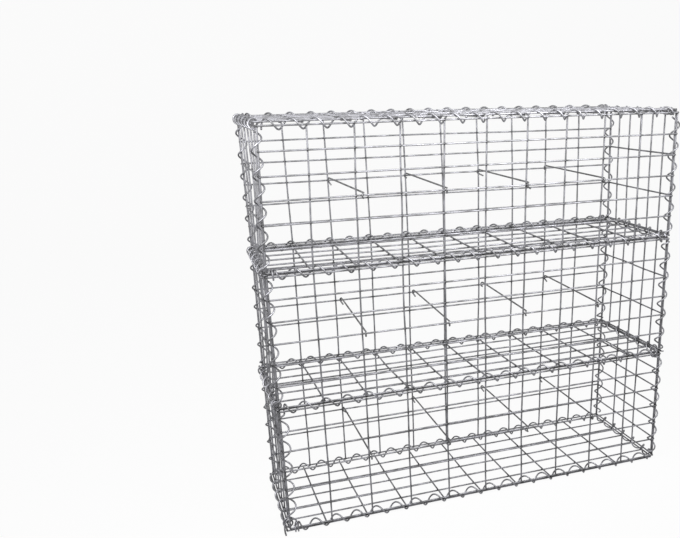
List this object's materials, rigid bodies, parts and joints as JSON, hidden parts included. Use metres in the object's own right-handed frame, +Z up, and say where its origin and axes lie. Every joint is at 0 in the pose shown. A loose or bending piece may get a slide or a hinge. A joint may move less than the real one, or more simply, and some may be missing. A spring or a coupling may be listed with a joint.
{
  "type": "gabion wall",
  "caption": "Free-standing wall of empty welded-mesh wire baskets, stacked, cross-tied and laced shut along every edge with helical wire coils.",
  "frame": {"origin": "on the ground under the middle of the wall, at the lowest points of the bottom coils", "axes": "+X along the wall's length towards its right end, +Y through the wall from front to back, +Z up"},
  "size_m": [1.0305, 0.3186, 0.9476],
  "materials": {
    "mesh_wire": "dull galvanised zinc",
    "coil_wire": "dull galvanised zinc",
    "tie_wire": "dull galvanised zinc"
  },
  "bodies": {
    "root": {"back_coil_base": "coil_wire", "back_coil_joint_1": "coil_wire", "back_coil_joint_2": "coil_wire", "back_coil_lid": "coil_wire", "back_left_coil_1": "coil_wire", "back_left_coil_2": "coil_wire", "back_left_coil_3": "coil_wire", "back_panel_1": "mesh_wire", "back_panel_2": "mesh_wire", "back_panel_3": "mesh_wire", "back_right_coil_1": "coil_wire", "back_right_coil_2": "coil_wire", "back_right_coil_3": "coil_wire", "end_coils_base": "coil_wire", "end_coils_joint_1": "coil_wire", "end_coils_joint_2": "coil_wire", "end_coils_lid": "coil_wire", "floor_panel": "mesh_wire", "front_coil_base": "coil_wire", "front_coil_joint_1": "coil_wire", "front_coil_joint_2": "coil_wire", "front_coil_lid": "coil_wire", "front_left_coil_1": "coil_wire", "front_left_coil_2": "coil_wire", "front_left_coil_3": "coil_wire", "front_panel_1": "mesh_wire", "front_panel_2": "mesh_wire", "front_panel_3": "mesh_wire", "front_right_coil_1": "coil_wire", "front_right_coil_2": "coil_wire", "front_right_coil_3": "coil_wire", "left_end_1": "mesh_wire", "left_end_2": "mesh_wire", "left_end_3": "mesh_wire", "lid_panel": "mesh_wire", "right_end_1": "mesh_wire", "right_end_2": "mesh_wire", "right_end_3": "mesh_wire", "shelf_1": "mesh_wire", "shelf_2": "mesh_wire", "ties_1": "tie_wire", "ties_2": "tie_wire", "ties_3": "tie_wire"}
  },
  "joints": []
}
